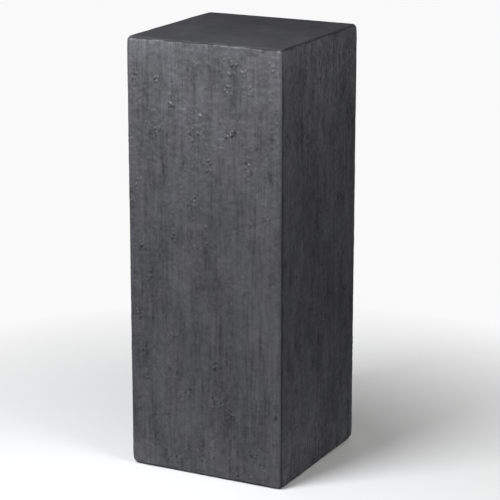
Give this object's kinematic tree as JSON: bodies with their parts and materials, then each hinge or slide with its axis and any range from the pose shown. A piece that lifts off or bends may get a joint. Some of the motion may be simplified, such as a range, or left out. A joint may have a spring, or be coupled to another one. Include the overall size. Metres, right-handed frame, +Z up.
{
  "type": "display plinth",
  "caption": "Upright square display plinth: a mitred box with a brushed dark mineral coat, a batten frame inside, a recessed base and levelling feet.",
  "frame": {"origin": "on the floor, under the middle of the plinth, with its feet screwed fully in", "axes": "+Z up, the front faces -Y, the right side faces +X"},
  "size_m": [0.35, 0.35, 0.91],
  "materials": {
    "mineral_coat": "brushed matte mineral coat",
    "mdf": "raw board",
    "sealed_mdf": "black sealed board",
    "birch_ply": "raw plywood",
    "softwood": "planed",
    "yellow_zinc": "yellow zinc plated",
    "zinc_steel": "bright zinc plated",
    "nylon": "moulded",
    "sole_rubber": "matte"
  },
  "bodies": {
    "plinth": {"front_board": "mdf", "right_board": "mdf", "back_board": "mdf", "left_board": "mdf", "top_board": "mdf", "front_coat": "mineral_coat", "right_coat": "mineral_coat", "back_coat": "mineral_coat", "left_coat": "mineral_coat", "top_coat": "mineral_coat", "front_left_mitre_spline": "birch_ply", "front_right_mitre_spline": "birch_ply", "back_right_mitre_spline": "birch_ply", "back_left_mitre_spline": "birch_ply", "front_top_spline": "birch_ply", "right_top_spline": "birch_ply", "back_top_spline": "birch_ply", "left_top_spline": "birch_ply", "front_left_post": "softwood", "front_right_post": "softwood", "back_right_post": "softwood", "back_left_post": "softwood", "front_top_cleat": "softwood", "right_top_cleat": "softwood", "back_top_cleat": "softwood", "left_top_cleat": "softwood", "front_base_rail": "softwood", "right_base_rail": "softwood", "back_base_rail": "softwood", "left_base_rail": "softwood", "mid_brace": "birch_ply", "base_panel": "sealed_mdf", "post_screws": "yellow_zinc", "cleat_screws": "yellow_zinc", "rail_screws": "yellow_zinc", "base_screws": "yellow_zinc", "front_left_insert": "zinc_steel", "front_right_insert": "zinc_steel", "back_right_insert": "zinc_steel", "back_left_insert": "zinc_steel"},
    "front_left_foot_pad": {"front_left_pad": "nylon", "front_left_sole": "sole_rubber"},
    "front_left_foot_stud": {"front_left_stud": "zinc_steel"},
    "front_right_foot_pad": {"front_right_pad": "nylon", "front_right_sole": "sole_rubber"},
    "front_right_foot_stud": {"front_right_stud": "zinc_steel"},
    "back_right_foot_pad": {"back_right_pad": "nylon", "back_right_sole": "sole_rubber"},
    "back_right_foot_stud": {"back_right_stud": "zinc_steel"},
    "back_left_foot_pad": {"back_left_pad": "nylon", "back_left_sole": "sole_rubber"},
    "back_left_foot_stud": {"back_left_stud": "zinc_steel"}
  },
  "joints": [
    {"name": "front_left_foot_travel", "type": "slide", "parent": "plinth", "child": "front_left_foot_pad", "axis": [0, 0, -1], "range_m": [0, 0.012]},
    {"name": "front_left_foot_turn", "type": "hinge", "parent": "front_left_foot_pad", "child": "front_left_foot_stud", "pos_m": [-0.11, -0.11, 0], "axis": [0, 0, -1], "range_deg": [0, 2880]},
    {"name": "front_right_foot_travel", "type": "slide", "parent": "plinth", "child": "front_right_foot_pad", "axis": [0, 0, -1], "range_m": [0, 0.012]},
    {"name": "front_right_foot_turn", "type": "hinge", "parent": "front_right_foot_pad", "child": "front_right_foot_stud", "pos_m": [0.11, -0.11, 0], "axis": [0, 0, -1], "range_deg": [0, 2880]},
    {"name": "back_right_foot_travel", "type": "slide", "parent": "plinth", "child": "back_right_foot_pad", "axis": [0, 0, -1], "range_m": [0, 0.012]},
    {"name": "back_right_foot_turn", "type": "hinge", "parent": "back_right_foot_pad", "child": "back_right_foot_stud", "pos_m": [0.11, 0.11, 0], "axis": [0, 0, -1], "range_deg": [0, 2880]},
    {"name": "back_left_foot_travel", "type": "slide", "parent": "plinth", "child": "back_left_foot_pad", "axis": [0, 0, -1], "range_m": [0, 0.012]},
    {"name": "back_left_foot_turn", "type": "hinge", "parent": "back_left_foot_pad", "child": "back_left_foot_stud", "pos_m": [-0.11, 0.11, 0], "axis": [0, 0, -1], "range_deg": [0, 2880]}
  ],
  "couplings": [
    {"joint": "front_left_foot_turn", "follows": "front_left_foot_travel", "rad_per_m": 4188.7},
    {"joint": "front_right_foot_turn", "follows": "front_right_foot_travel", "rad_per_m": 4188.7},
    {"joint": "back_right_foot_turn", "follows": "back_right_foot_travel", "rad_per_m": 4188.7},
    {"joint": "back_left_foot_turn", "follows": "back_left_foot_travel", "rad_per_m": 4188.7}
  ]
}
